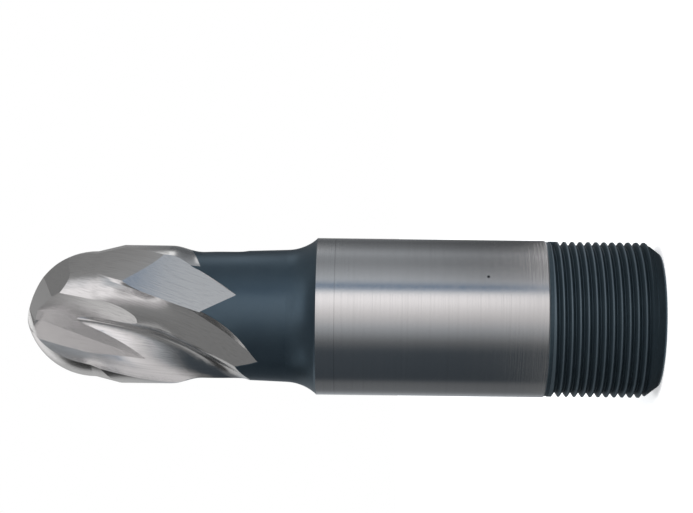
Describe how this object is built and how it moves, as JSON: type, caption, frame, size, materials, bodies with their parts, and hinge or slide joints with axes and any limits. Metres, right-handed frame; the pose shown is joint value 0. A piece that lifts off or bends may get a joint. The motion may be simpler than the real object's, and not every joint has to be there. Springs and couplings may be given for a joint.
{
  "type": "ball-nosed slot drill",
  "caption": "Ball-nosed slot drill with a plain cylindrical shank that ends in an external screw thread, and fluted cutting edges that run over a round end, for milling slots.",
  "frame": {"origin": "centre of the shank's end face, on the tool's axis", "axes": "+Z along the tool's axis from the screwed end to the tip of the ball; -Y toward the side that the picture shows"},
  "size_m": [0.025, 0.025, 0.1005],
  "materials": {
    "tool_steel": "fine ground bright steel, with a dark oxide on the neck, the shoulder and the screw thread"
  },
  "bodies": {
    "root": {"slot_drill": "tool_steel"}
  },
  "joints": []
}
